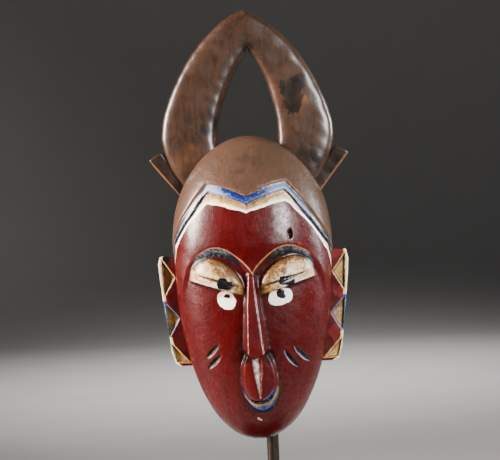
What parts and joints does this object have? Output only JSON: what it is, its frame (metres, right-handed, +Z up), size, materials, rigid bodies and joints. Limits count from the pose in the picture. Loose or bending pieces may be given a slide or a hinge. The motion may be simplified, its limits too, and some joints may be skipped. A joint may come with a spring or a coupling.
{
  "type": "crest mask on stand",
  "caption": "Carved and painted wooden crest mask with a tall pointed arch of horns, notched side boards and a hollow back, hung on the bent rod of a flat steel display stand.",
  "frame": {"origin": "bottom centre of the bounding box, on the underside of the foot plate", "axes": "+Z up along the rod to the tip of the horns; the carved face looks along -Y, so +Y points to its hollow back; +X to the viewer's right"},
  "size_m": [0.1856, 0.156, 0.519],
  "materials": {
    "painted_wood": "hand-carved wood, glossy red, black, blue and cream paint with a dark brown crest, worn at the edges",
    "rod_steel": "bare steel bar with dark blotches",
    "foot_steel": "satin black"
  },
  "bodies": {
    "root": {"mask": "painted_wood", "stand_rod": "rod_steel", "foot_plate": "foot_steel"}
  },
  "joints": []
}
